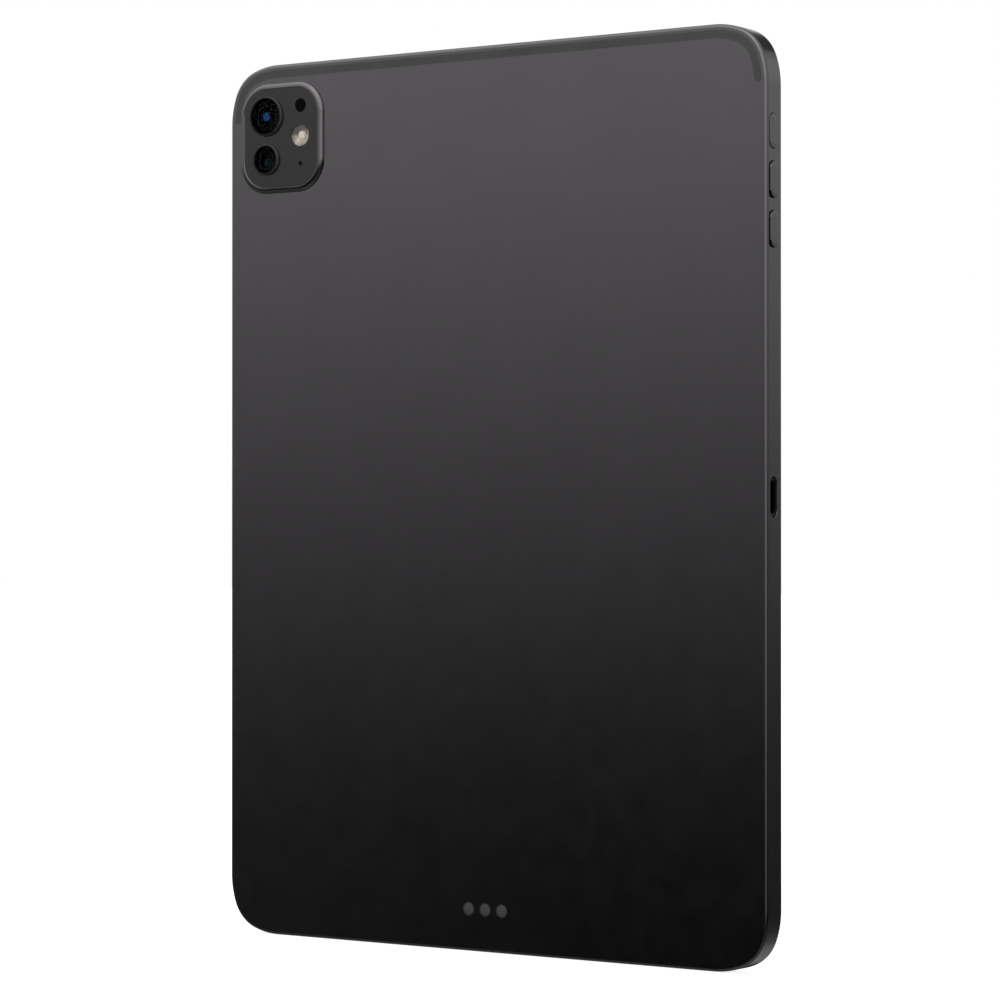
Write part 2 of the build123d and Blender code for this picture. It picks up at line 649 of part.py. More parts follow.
def pieces():
    """Every node and its shape."""
    made = {name: side_button(button) for name, button in BUTTONS.items()}
    made |= {name: battery_cell(x_span) for name, x_span in CELLS_X.items()}
    for end in ("top", "bottom"):
        made[f"{end}_speakers"] = [speaker_box(place) for place in SPEAKERS if place.startswith(end)]
    made |= {"wide_lens_ring": lens_ring(WIDE_LENS), "wide_lens_glass": lens_glass(WIDE_LENS),
             "second_lens_ring": lens_ring(SECOND_LENS), "second_lens_glass": lens_glass(SECOND_LENS),
             "wide_lens_barrel": barrel(WIDE_LENS, WIDE_BARREL_R, WIDE_HOLLOW),
             "wide_lens_element": front_element(WIDE_LENS, WIDE_HOLLOW),
             "wide_image_sensor": image_sensor(WIDE_LENS, WIDE_CAN),
             "second_lens_barrel": barrel(SECOND_LENS, SECOND_BARREL_R, SECOND_HOLLOW),
             "second_lens_element": front_element(SECOND_LENS, SECOND_HOLLOW),
             "second_image_sensor": image_sensor(SECOND_LENS, SECOND_CAN)}
    for make in (rear_housing, antenna_band, cover_glass, border_mask, display_gasket, display_panel,
                 backlight_unit, display_frame, display_flex, front_camera, camera_island, camera_plate,
                 wide_camera_can, wide_focus_coil, second_camera_can, camera_bracket, camera_board,
                 flash_lens, sensor_window, rear_mic_mesh, accessory_contacts, contact_insulator,
                 accessory_flex, switch_flex, button_bracket, port_surround, port_shell, port_tongue,
                 port_contacts, port_bracket, battery_adhesive, battery_board, graphite_sheet,
                 logic_board, processor, board_parts, shield_cans, speaker_cones, speaker_meshes,
                 edge_magnets, antenna_strips, screws):
        made[make.__name__] = make()
    return made


os.makedirs("parts", exist_ok=True)
for name, shape in pieces().items():
    solids = shape if isinstance(shape, list) else [shape]
    standing = [stand_up(solid) for solid in solids]
    export_step(standing[0] if len(standing) == 1 else Compound(standing), f"parts/{name}.step")
print(len(os.listdir("parts")), "nodes")
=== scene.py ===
import json
from math import cos, radians, sin

import bmesh
import bpy
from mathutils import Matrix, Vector


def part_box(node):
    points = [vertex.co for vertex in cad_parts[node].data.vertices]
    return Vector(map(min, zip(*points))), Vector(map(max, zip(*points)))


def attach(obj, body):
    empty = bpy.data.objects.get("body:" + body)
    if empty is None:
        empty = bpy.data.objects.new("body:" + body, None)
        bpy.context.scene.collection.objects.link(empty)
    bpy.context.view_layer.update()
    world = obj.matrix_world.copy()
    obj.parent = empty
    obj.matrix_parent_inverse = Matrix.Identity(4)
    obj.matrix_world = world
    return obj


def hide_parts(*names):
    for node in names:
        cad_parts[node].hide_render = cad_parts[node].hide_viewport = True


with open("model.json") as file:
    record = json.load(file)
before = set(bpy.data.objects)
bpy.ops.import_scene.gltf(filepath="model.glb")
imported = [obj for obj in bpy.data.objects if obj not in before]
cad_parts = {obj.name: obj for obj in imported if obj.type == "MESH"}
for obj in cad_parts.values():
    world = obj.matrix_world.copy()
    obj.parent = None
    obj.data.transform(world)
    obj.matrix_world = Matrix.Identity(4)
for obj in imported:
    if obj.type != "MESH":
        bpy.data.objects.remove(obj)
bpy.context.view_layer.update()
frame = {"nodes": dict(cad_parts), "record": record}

# Shapes are drawn in millimetres as seen from behind: x to the right, y up, z out of the back.
MM = 0.001

# Camera: at the photograph's angle, in metres and degrees
CAMERA_AZIMUTH, CAMERA_ELEVATION, CAMERA_DISTANCE = 34.63, -0.376, 0.9639
CAMERA_TARGET = Vector((0, 0, 0.12497))
CAMERA_LENS, CAMERA_SHIFT = 126.24, (0.0075, -0.004)


# Materials

class Nodes:
    """A material's node tree, with short calls to add and join its nodes."""

    def __init__(self, name):
        self.material = bpy.data.materials.new(name)
        self.material.use_nodes = True
        self.tree = self.material.node_tree
        self.shader = self.tree.nodes["Principled BSDF"]
        self.place = self.tree.nodes.new("ShaderNodeTexCoord").outputs["Object"]

    def set(self, **values):
        for name, value in values.items():
            socket = self.shader.inputs[name.replace("_", " ")]
            socket.default_value = (*value, 1) if isinstance(value, tuple) else value
        return self

    def noise(self, size_mm, detail=2.0, stretch=(1, 1, 1)):
        """A noise whose blotches are about this large."""
        scaled = self.tree.nodes.new("ShaderNodeMapping")
        scaled.inputs["Scale"].default_value = stretch
        node = self.tree.nodes.new("ShaderNodeTexNoise")
        node.inputs["Scale"].default_value = 1 / (size_mm * MM)
        node.inputs["Detail"].default_value = detail
        self.tree.links.new(self.place, scaled.inputs["Vector"])
        self.tree.links.new(scaled.outputs["Vector"], node.inputs["Vector"])
        return node.outputs["Fac"]

    def from_axis(self, x, y):
        """The distance in metres from an axis square to the back."""
        flat = self.tree.nodes.new("ShaderNodeVectorMath")
        flat.operation = "MULTIPLY"
        flat.inputs[1].default_value = (1, 0, 1)
        apart = self.tree.nodes.new("ShaderNodeVectorMath")
        apart.operation = "DISTANCE"
        apart.inputs[1].default_value = (x * MM, 0, y * MM)
        self.tree.links.new(self.place, flat.inputs[0])
        self.tree.links.new(flat.outputs["Vector"], apart.inputs[0])
        return apart.outputs["Value"]

    def ranged(self, value, low, high, source=(0.3, 0.7)):
        """The value, spread from its source range over low to high."""
        node = self.tree.nodes.new("ShaderNodeMapRange")
        node.inputs["From Min"].default_value, node.inputs["From Max"].default_value = source
        node.inputs["To Min"].default_value, node.inputs["To Max"].default_value = low, high
        self.tree.links.new(value, node.inputs["Value"])
        return node.outputs["Result"]

    def mixed(self, value, low, high):
        """A colour between two, by the value."""
        node = self.tree.nodes.new("ShaderNodeMix")
        node.data_type = "RGBA"
        for socket, colour in (("A", low), ("B", high)):
            if isinstance(colour, tuple):
                node.inputs[socket].default_value = (*colour, 1)
            else:
                self.tree.links.new(colour, node.inputs[socket])
        self.tree.links.new(value, node.inputs["Factor"])
        return node.outputs["Result"]

    def bump(self, height, depth_mm):
        node = self.tree.nodes.new("ShaderNodeBump")
        node.inputs["Distance"].default_value = depth_mm * MM
        self.tree.links.new(height, node.inputs["Height"])
        self.tree.links.new(node.outputs["Normal"], self.shader.inputs["Normal"])
        return self

    def join(self, output, name):
        self.tree.links.new(output, self.shader.inputs[name])
        return self


def shades(colour, by):
    return tuple(c * (1 - by) for c in colour), tuple(c * (1 + by) for c in colour)


# Sizes of the blotches in millimetres: of colour, of gloss, and of smears on glass
DRIFT, GLOSS, SMEARS = 18, 6, 9
GLOSS_SPREAD, SMEAR_ROUGHNESS = 0.07, (0.01, 0.03)
# The lens's own dark colour; LENS_CORE darkens the middle of the painted reflection
LENS_DARK, LENS_CORE, LENS_BLOTCHES = (0.002, 0.002, 0.003), 0.7, 0.5
# Where the painted reflection on a lens and its dark middle start to fade, as shares of their radii
CORE_FADE, REFLECTION_FADE = 0.15, 0.55
RING_BLACK, RING_GREY, RING_BLOTCHES = (0.008, 0.008, 0.008), (0.075, 0.073, 0.075), 3
RING_GREY_FROM, RING_GREY_AT = 0.2, 0.08  # the grey's start and full strength, from the ring's edge
STREAKS, STREAK_STRETCH, STREAK_DEPTH = 0.9, (1, 1, 0.3), 0.05


def finish(name, colour, roughness, metallic=0.0, grain=(0.2, 0.004), vary=0.05, **settings):
    """A machined, moulded or blasted surface: a slight drift of colour and gloss, and a fine grain.

    The grain is its size and its depth in millimetres."""
    nodes = Nodes(name).set(Metallic=metallic, **settings)
    drift = nodes.ranged(nodes.noise(DRIFT), 0, 1)
    nodes.join(nodes.mixed(drift, *shades(colour, vary)), "Base Color")
    low, high = roughness * (1 - GLOSS_SPREAD), roughness * (1 + GLOSS_SPREAD)
    nodes.join(nodes.ranged(nodes.noise(GLOSS, 4), low, high), "Roughness")
    return nodes.bump(nodes.noise(grain[0], 1), grain[1]).material


def clear(name, tint, index):
    """Glass with faint smears in its gloss. A low index stands for the coating that stops reflections."""
    nodes = Nodes(name).set(Base_Color=tint, Transmission_Weight=1.0, IOR=index)
    return nodes.join(nodes.ranged(nodes.noise(SMEARS, 3), *SMEAR_ROUGHNESS), "Roughness").material


def element_with_painted_reflection(name, node, colour, shift, core_mm, reflection_radius_mm):
    """A dark lens with a painted reflection in its coatings' colour, round a darker middle."""
    x, y, _ = spans(node)
    nodes = Nodes(name).set(Roughness=0.35, Specular_IOR_Level=0.02)
    away = nodes.from_axis(middle(x) + shift[0], middle(y) + shift[1])
    core = nodes.ranged(away, 0, 1, (CORE_FADE * core_mm * MM, core_mm * MM))
    edge = nodes.ranged(away, 0, 1, (REFLECTION_FADE * reflection_radius_mm * MM, reflection_radius_mm * MM))
    blotches = nodes.mixed(nodes.noise(LENS_BLOTCHES), *shades(colour, 0.2))
    reflection_colour = nodes.mixed(core, shades(colour, LENS_CORE)[0], blotches)
    return nodes.join(nodes.mixed(edge, reflection_colour, LENS_DARK), "Base Color").material


def bezel_finish(name, x, y, radius):
    """A ring with the plate's grey on its side, and a blackened lip."""
    nodes = Nodes(name).set(Roughness=0.45, Specular_IOR_Level=0.1)
    fade = ((radius - RING_GREY_FROM) * MM, (radius - RING_GREY_AT) * MM)
    edge = nodes.ranged(nodes.from_axis(x, y), 0, 1, fade)
    blotches = nodes.noise(RING_BLOTCHES)
    black = nodes.mixed(blotches, *shades(RING_BLACK, 0.2))
    grey = nodes.mixed(blotches, *shades(RING_GREY, 0.1))
    return nodes.join(nodes.mixed(edge, black, grey), "Base Color").material


def flash_painted_highlight(name, x, y, near, far, reach, **settings):
    """A painted highlight: warm and bright near the axis and duller away from it, with faint upright
    streaks.
    """
    nodes = Nodes(name).set(**settings)
    away = nodes.ranged(nodes.from_axis(x, y), 0, 1, (reach[0] * MM, reach[1] * MM))
    streaks = nodes.ranged(nodes.noise(STREAKS, 2, STREAK_STRETCH), 0, 1)
    near, far = nodes.mixed(streaks, *shades(near, 0.15)), nodes.mixed(streaks, *shades(far, 0.5))
    return nodes.join(nodes.mixed(away, near, far), "Base Color").bump(streaks, STREAK_DEPTH).material


def spans(node):
    """A CAD node's x, y and z spans in the drawing frame."""
    low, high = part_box(node)
    return (low.x / MM, high.x / MM), (low.z / MM, high.z / MM), (-high.y / MM, -low.y / MM)


def middle(span):
    return (span[0] + span[1]) / 2


def half(span):
    return (span[1] - span[0]) / 2


SPACE_GREY = (0.119, 0.113, 0.119)
BLASTED = (0.12, 0.0012)
BLACK = (0.003, 0.003, 0.003)
finishes = {
    "anodised_shell": finish("anodised_shell", SPACE_GREY, 0.17, 1.0, BLASTED, 0.02),
    "button_metal": finish("button_metal", SPACE_GREY, 0.17, 1.0, BLASTED, 0.02),
    "antenna_plastic": finish("antenna_plastic", (0.083, 0.081, 0.083), 0.22, 1.0, BLASTED),
    "island_metal": finish("island_metal", (0.122, 0.118, 0.122), 0.24, 1.0, BLASTED, 0.03),
    "island_plate": finish("island_plate", (0.057, 0.0545, 0.0565), 0.27, 1.0, BLASTED, 0.03),
    "lens_ring_metal": finish("lens_ring_metal", (0.022, 0.021, 0.022), 0.25, 1.0),
    "lens_cover_glass": clear("lens_cover_glass", (0.9, 0.92, 0.96), 1.07),
    "camera_black": finish("camera_black", BLACK, 0.6, Specular_IOR_Level=0.02),
    "camera_steel": finish("camera_steel", (0.02, 0.02, 0.02), 0.5, 1.0),
    "dark_window": finish("dark_window", BLACK, 0.1, Specular_IOR_Level=0.01),
    "fine_mesh": finish("fine_mesh", (0.006, 0.006, 0.006), 0.7, 0.0, (0.08, 0.03)),
    "contact_metal": finish("contact_metal", (0.098, 0.096, 0.096), 0.62, 1.0, (0.1, 0.004)),
    "black_insulator": finish("black_insulator", (0.006, 0.006, 0.006), 0.5, Specular_IOR_Level=0.3),
    "port_steel": finish("port_steel", (0.012, 0.012, 0.012), 0.4, 1.0),
    "display_glass": clear("display_glass", (1.0, 1.0, 1.0), 1.5),
    "display_ink": finish("display_ink", BLACK, 0.4, Specular_IOR_Level=0.0),
    "display_cell": finish("display_cell", (0.012, 0.012, 0.016), 0.25, Specular_IOR_Level=0.3),
    "gasket": finish("gasket", (0.01, 0.01, 0.01), 0.7),
}
METALS, PLAIN_ROUGHNESS = ("aluminium", "brushed_steel", "chrome", "brass"), 0.45
for entry in frame["record"]["materials"]:
    if entry["slot"] not in finishes:
        colour, metallic = tuple(entry["base_color"][:3]), float(entry["class"] in METALS)
        finishes[entry["slot"]] = finish(entry["slot"], colour, PLAIN_ROUGHNESS, metallic)
slot_of = {part["node"]: part["material_slot"] for part in frame["record"]["subparts"]}
for name, node in frame["nodes"].items():
    for holder in node.material_slots:
        holder.material = finishes[slot_of[name]]


# Shapes

ARC_STEP = 3  # degrees between the points of an arc
WELD = 1e-7  # points closer than this, in metres, are joined
PAST = 1.0  # how far a cut runs past the surface it goes through
FIT = 0.02  # gap round a piece that is seated in a hole
MOUTH = 0.12  # width of the fine bevel round each opening in the walls
BODY_ARCS = ((24.0, 20), (11.5, 50), (24.0, 20))  # radius and turn of each arc of the body's corners


def arc(centre, radius, start, stop, steps=None):
    """Points along an arc."""
    steps = steps or max(1, round(abs(stop - start) / ARC_STEP))
    angles = [radians(start + (stop - start) * i / steps) for i in range(steps + 1)]
    return [(centre[0] + radius * cos(a), centre[1] + radius * sin(a)) for a in angles]


def outline(x_span, y_span, arcs):
    """A rectangle with corners of one or more arcs: a function that gives its points at an inset."""
    turn, reach = 0, 0.0
    for radius, sweep in arcs:
        reach += radius * (sin(radians(turn + sweep)) - sin(radians(turn)))
        turn += sweep

    def at(inset=0.0):
        turn, corner = 0, [(-inset, -reach)]
        for radius, sweep in arcs:
            radius -= inset
            x, y = corner[-1]
            centre = (x - radius * cos(radians(turn)), y - radius * sin(radians(turn)))
            corner += arc(centre, radius, turn, turn + sweep)[1:]
            turn += sweep
        points = []
        for x, y in ((x_span[1], y_span[1]), (x_span[0], y_span[1]), (x_span[0], y_span[0]),
                     (x_span[1], y_span[0])):
            points += [(x + u, y + v) for u, v in corner]
            corner = [(-v, u) for u, v in corner]
        return points
    return at


def circle(x, y, radius):
    return outline((x - radius, x + radius), (y - radius, y + radius), ((radius, 90),))


def pill(x_span, y_span):
    return outline(x_span, y_span, ((min(half(x_span), half(y_span)), 90),))


def quarter(wide, high, base, step=5):
    """A quarter of an ellipse that rises inwards from the base: points of (inset, depth)."""
    turns = [radians(a) for a in range(0, 91, step)]
    return [(wide * (1 - cos(a)), base + high * sin(a)) for a in turns]


def disc(low, top, edge, between):
    """A disc's profile, its outer edge eased by two bevels that meet at (between, -between)."""
    return [(0, low), (0, top - edge), (between, top - between), (edge, top)]


def backwards(x, y, z):
    """Where a point of the drawing is in the standing tablet."""
    return Vector((x, -z, y)) * MM


def sideways(u, v, depth):
    """For outlines on the long side: u is y, v is z and the depth is x."""
    return backwards(depth, u, v)


def endways(u, v, depth):
    """For outlines on the short sides: u is x, v is z and the depth is y."""
    return backwards(u, depth, v)


def sweep(mesh, shape, profile, placing=backwards, closed=False):
    """Adds the shape's outline carried along a profile of (inset, depth) points, with its ends filled."""
    rings = [[mesh.verts.new(placing(u, v, depth)) for u, v in shape(inset)] for inset, depth in profile]
    following = rings[1:] + rings[:1] if closed else rings[1:]
    for low, high in zip(rings, following):
        for i in range(len(low)):
            j = (i + 1) % len(low)
            mesh.faces.new((low[i], low[j], high[j], high[i]))
    if not closed:
        mesh.faces.new(reversed(rings[0]))
        mesh.faces.new(rings[-1])
    return mesh


def prism(mesh, points, span, placing=backwards):
    return sweep(mesh, lambda inset: points, [(0, span[0]), (0, span[1])], placing)


def opening(mesh, shape, span, placing=backwards, mouth=MOUTH):
    """A hole through a wall, with a fine bevel at its mouth, which is the span's second value."""
    inner, outer = span
    out = 1 if outer > inner else -1
    profile = [(0, inner), (0, outer - out * mouth), (-mouth, outer), (-mouth, outer + out * PAST)]
    return sweep(mesh, shape, profile, placing)


def settled(mesh, name):
    """The drawn mesh as an object, with its doubled points joined."""
    bmesh.ops.remove_doubles(mesh, verts=mesh.verts, dist=WELD)
    bmesh.ops.dissolve_degenerate(mesh, edges=mesh.edges, dist=WELD)
    bmesh.ops.recalc_face_normals(mesh, faces=mesh.faces)
    data = bpy.data.meshes.new(name)
    mesh.to_mesh(data)
    mesh.free()
    obj = bpy.data.objects.new(name, data)
    bpy.context.scene.collection.objects.link(obj)
    return obj


def cut(obj, mesh):
    """Cuts the drawn mesh out of the object."""
    cutter = settled(mesh, "cutter")
    modifier = obj.modifiers.new("cut", "BOOLEAN")
    modifier.operation, modifier.solver, modifier.object = "DIFFERENCE", "EXACT", cutter
    graph = bpy.context.evaluated_depsgraph_get()
    data = bpy.data.meshes.new_from_object(obj.evaluated_get(graph))
    obj.modifiers.clear()
    obj.data = data
    data.name = obj.name
    bpy.data.objects.remove(cutter)
    return obj


def piece(obj, slot, *replaced, body="chassis", crease=30):
    """Shades the object smooth between its creases, and gives it its finish and its body."""
    obj.data.shade_smooth()
    obj.data.set_sharp_from_angle(angle=radians(crease))
    obj.data.materials.clear()
    obj.data.materials.append(finishes[slot])
    weighted = obj.modifiers.new("normals", "WEIGHTED_NORMAL")
    weighted.keep_sharp, weighted.weight = True, 100
    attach(obj, body)
    if replaced:
        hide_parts(*replaced)
    return obj


# The housing

BODY_X, BODY_Y, (FRONT, BACK) = spans("rear_housing")
EDGE_X = BODY_X[1]
BACK_EDGE_R, FRONT_EDGE_R = 1.0, 0.35
SIDE_WALL, BACK_WALL = 2.4, 0.9
INSIDE_BACK = BACK - BACK_WALL
GLASS_POCKET, LEDGE = 1.0, FRONT + 0.9
BAND_OUT, BAND_IN, BAND_DEPTH, BAND_LIFT = 1.7, 3.8, 0.5, 0.01
BUTTON_GAP = 0.08
FLANGE_LONG, FLANGE_WIDE = 0.7, 0.15  # how far a button's flange spreads past its cap
SPEAKER_HOLES, SPEAKER_PITCH, SPEAKER_HOLE_R = 9, 2.6, 0.75
SPEAKER_HALF = 18.0  # half a speaker's length
CONTACT_RING, CONTACT_TAIL, CONTACT_DOME = 0.3, 0.7, 0.06
TOP_MICS_X, TOP_MIC_R = (-8, 8), 0.5
body = outline(BODY_X, BODY_Y, BODY_ARCS)
BUTTONS = ("lock_button", "volume_up_button", "volume_down_button")
island_x, island_y, _ = spans("camera_island")
ISLAND_CORNER_R, ISLAND_SEAT = 9.2, 2.6
island = outline(island_x, island_y, ((ISLAND_CORNER_R, 90),))


def cap_span(button):
    """The length of a button's cap, which is shorter than the flange behind it."""
    _, y, z = spans(button)
    return (y[0] + FLANGE_LONG, y[1] - FLANGE_LONG), (z[0] + FLANGE_WIDE, z[1] - FLANGE_WIDE)


def band_points(grow):
    """The antenna band's outline: over the top and down both long sides, to a round end on each leg."""
    leg_end = spans("antenna_band")[1][0] + (BAND_IN - BAND_OUT) / 2
    outer = [p for p in body(BAND_OUT - grow) if p[1] > leg_end]
    inner = [p for p in body(BAND_IN + grow) if p[1] > leg_end]
    centre, radius = EDGE_X - (BAND_OUT + BAND_IN) / 2, (BAND_IN - BAND_OUT) / 2 + grow
    left = arc((-centre, leg_end), radius, 180, 360)
    right = arc((centre, leg_end), radius, 180, 360)
    return outer + left + inner[::-1] + right


def make_housing():
    profile = arc((BACK_EDGE_R, BACK - BACK_EDGE_R), BACK_EDGE_R, 90, 180, 12)
    profile += arc((FRONT_EDGE_R, FRONT + FRONT_EDGE_R), FRONT_EDGE_R, 180, 270, 6)
    profile += [(GLASS_POCKET, FRONT), (GLASS_POCKET, LEDGE), (SIDE_WALL, LEDGE), (SIDE_WALL, INSIDE_BACK)]
    housing = settled(sweep(bmesh.new(), body, profile), "housing_shell")
    tools = bmesh.new()
    through_back = (INSIDE_BACK - PAST, BACK + PAST)
    prism(tools, island(ISLAND_SEAT), through_back)
    prism(tools, band_points(FIT), (BACK - BAND_DEPTH, BACK + PAST))
    for x, y, radius in contact_places():
        prism(tools, circle(x, y, radius + CONTACT_RING + FIT)(), through_back)
    wall = (EDGE_X - SIDE_WALL - PAST, EDGE_X)
    top, bottom = (BODY_Y[1] - SIDE_WALL - PAST, BODY_Y[1]), (SIDE_WALL + PAST, 0)
    for button in BUTTONS:
        slot = pill(*((low - BUTTON_GAP, high + BUTTON_GAP) for low, high in cap_span(button)))
        opening(tools, slot, wall, sideways)
    _, y, z = spans("port_surround")
    opening(tools, pill(y, z), wall, sideways)
    for holes in ("top_speakers", "bottom_speakers"):
        x, y, _ = spans(holes)
        end = top if middle(y) > middle(BODY_Y) else bottom
        for first in (x[0] + SPEAKER_HALF, x[1] - SPEAKER_HALF):
            for step in range(SPEAKER_HOLES):
                at = first + (step - (SPEAKER_HOLES - 1) / 2) * SPEAKER_PITCH
                opening(tools, circle(at, 0, SPEAKER_HOLE_R), end, endways)
    for x in TOP_MICS_X:
        opening(tools, circle(x, 0, TOP_MIC_R), top, endways)
    return piece(cut(housing, tools), "anodised_shell", "rear_housing")


def contact_places():
    """The middle and radius of each stud in the row of three."""
    x, y, _ = spans("accessory_contacts")
    radius = half(y)
    return [(at, middle(y), radius) for at in (x[0] + radius, middle(x), x[1] - radius)]


def make_band():
    mesh = prism(bmesh.new(), band_points(0), (BACK - BAND_DEPTH + BAND_LIFT, BACK))
    return piece(settled(mesh, "antenna_inlay"), "antenna_plastic", "antenna_band")


# The camera island

ISLAND_RISE, ISLAND_SHOULDER = 1.0, 1.75
CROWN_END, BEVEL_START, BEVEL_END, BEVEL_DROP = 0.3, 0.2, 0.07, 0.13  # the rim's top, from its inner edge
TUCK = 0.05  # how far the rim goes into the back
PLATE_TOP = BACK + ISLAND_RISE - 0.05
PLATE_CHAMFER, HOLE_CHAMFER = 0.06, 0.05
# How far each piece in the plate spreads under it in the CAD, and how far it is drawn to
FLANGES = {"wide_lens_ring": 0.3, "second_lens_ring": 0.3, "flash_lens": 0.4, "sensor_window": 0.35,
           "rear_mic_mesh": 0.0}
SPREAD = 0.3

LENS_LIP, LENS_LEDGE, LIP_ROUND = 0.6, 0.6, 0.35
COVER_EDGE = (0.1, 0.03)
MASK_UNDER, MASK_OVER = 0.07, 0.01  # from the glass above
# Each lens: its painted reflection's colour, how far the painted reflection is shifted, the radii of its
# dark middle and of the painted reflection, and the radius of the opening under its glass
LENSES = {"wide": ((0.018, 0.068, 0.22), (-0.55, 0.05), 0.6, 1.5, 2.7),
          "second": ((0.007, 0.026, 0.034), (-0.5, -0.9), 0.2, 1.1, 2.1)}
LENS_BODIES = {"wide": "focus_barrel", "second": "chassis"}
BARREL_CHAMFER, LENS_SEAT, BARREL_BORE = 0.08, 0.9, 0.62
BARREL_STEPS, STEPS_WIDE, STEP_PITCH, STEP_TREAD, STEP_DROP = 3, 0.3, 0.12, 0.1, 0.1
ELEMENT_DOME, ELEMENT_STEM, ELEMENT_THICK = 0.55, 0.38, 0.8

FLASH_GLASS, FLASH_EDGE = 0.35, (0.12, 0.04)
CUP_RIM, CUP_STEPS, CUP_PITCH, CUP_DROP, CUP_FACET, CUP_WIDE = 0.12, 5, 0.32, 0.2, (0.12, 0.13), 1.8
REFLECTOR_HIGHLIGHT_SHIFT = 0.6  # shift of the painted highlight on the reflector
LAMP_R, LAMP_DOME, LAMP_SHIFT = 1.7, 0.5, (-0.4, 0.15)
MIC_WALL, MIC_RIM, MIC_DEPTH = 0.6, 0.05, 0.3


def shoulder_profile():
    """The island's edge: it rises out of the back, turns over, and drops in a fine bevel to the plate."""
    top, inner, foot = BACK + ISLAND_RISE, ISLAND_SHOULDER, BACK - TUCK
    under = top - BEVEL_DROP
    profile = [(0, foot)] + quarter(inner - CROWN_END, ISLAND_RISE, BACK)
    return profile + [(inner - BEVEL_START, top), (inner - BEVEL_END, under), (inner, under), (inner, foot)]


def make_island():
    rim = settled(sweep(bmesh.new(), island, shoulder_profile(), closed=True), "island_rim")
    piece(rim, "island_metal", "camera_island", crease=35)
    edge = ISLAND_SHOULDER + FIT
    profile = [(edge, BACK), (edge, PLATE_TOP - PLATE_CHAMFER), (edge + PLATE_CHAMFER, PLATE_TOP)]
    plate = settled(sweep(bmesh.new(), island, profile), "island_cover")
    tools = bmesh.new()
    for node, flange in FLANGES.items():
        x, y, _ = spans(node)
        hole = circle(middle(x), middle(y), half(x) - flange + FIT)
        opening(tools, hole, (BACK - PAST, PLATE_TOP), mouth=HOLE_CHAMFER)
    piece(cut(plate, tools), "island_plate", "camera_plate")


def round_place(node):
    """A round node's middle and its visible radius, and its lowest and highest depth."""
    x, y, depth = spans(node)
    return middle(x), middle(y), half(x) - FLANGES[node], depth


def turned(name, x, y, radius, profile, closed=False):
    """A round piece, turned about an axis square to the back."""
    return settled(sweep(bmesh.new(), circle(x, y, radius), profile, closed=closed), name)


def make_lens(which, colour, shift, core, reflection_radius, window):
    """One camera: its ring, its cover glass, the black mask under the glass, its barrel and its lens."""
    ring, glass = f"{which}_lens_ring", f"{which}_lens_glass"
    x, y, radius, (low, top) = round_place(ring)
    glass_x, _, (seat, over) = spans(glass)
    inner = LENS_LIP + LENS_LEDGE
    profile = [(-SPREAD, low), (-SPREAD, BACK), (0, BACK)]
    profile += arc((LIP_ROUND, top - LIP_ROUND), LIP_ROUND, 180, 90, 10)
    profile += [(LENS_LIP - 0.05, top), (LENS_LIP, top - 0.06), (LENS_LIP, seat)]
    profile += [(inner, seat), (inner, low)]
    bezel = piece(turned(f"{which}_bezel", x, y, radius, profile, True), "lens_ring_metal", ring)
    bezel.data.materials[0] = bezel_finish(f"{which}_bezel", x, y, radius)
    cover = turned(f"{which}_cover", x, y, half(glass_x), disc(seat, over, *COVER_EDGE))
    piece(cover, "lens_cover_glass", glass)
    hole, under, face = radius - inner - window, seat - MASK_UNDER, seat - MASK_OVER
    mask = [(0, under), (0, face), (hole, face), (hole, under)]
    piece(turned(f"{which}_mask", x, y, radius - inner - FIT, mask, True), "camera_black")
    make_barrel(which, x, y)
    make_element(which, x, y, colour, shift, core, reflection_radius)


def make_barrel(which, x, y):
    """The blackened barrel: its mouth steps down to the lens in rings that stop stray light."""
    node = f"{which}_lens_barrel"
    span, _, (low, top) = spans(node)
    radius, mouth = half(span), half(spans(f"{which}_lens_element")[0])
    rim, bore, seat = radius - mouth, radius - BARREL_BORE * mouth, top - LENS_SEAT
    profile = [(0, low), (0, top - BARREL_CHAMFER), (BARREL_CHAMFER, top), (rim - STEPS_WIDE, top)]
    for step in range(BARREL_STEPS):
        inset, depth = rim - STEPS_WIDE + STEP_PITCH * step, top - STEP_DROP * (step + 1)
        profile += [(inset, depth), (inset + STEP_TREAD, depth)]
    profile += [(rim + 0.04, seat), (bore, seat), (bore, low)]
    barrel = turned(f"{which}_baffle", x, y, radius, profile, True)
    piece(barrel, "camera_black", node, body=LENS_BODIES[which])


def make_element(which, x, y, colour, shift, core, reflection_radius):
    """The front lens: a domed glass on a narrower stem."""
    node = f"{which}_lens_element"
    span, _, (low, top) = spans(node)
    radius = half(span)
    stem, under = radius * ELEMENT_STEM, top - ELEMENT_THICK
    profile = [(stem, low), (stem, under), (0, under)]
    profile += quarter(radius, ELEMENT_DOME, top - ELEMENT_DOME, 6)[:-1] + [(radius * 0.985, top)]
    lens = turned(f"{which}_front_lens", x, y, radius, profile)
    piece(lens, "lens_element_glass", node, body=LENS_BODIES[which])
    # The front lens's colour is a painted reflection in its coatings' colour, round a darker middle
    lens.data.materials[0] = element_with_painted_reflection(f"{which}_painted_reflection", node, colour, shift, core, reflection_radius)


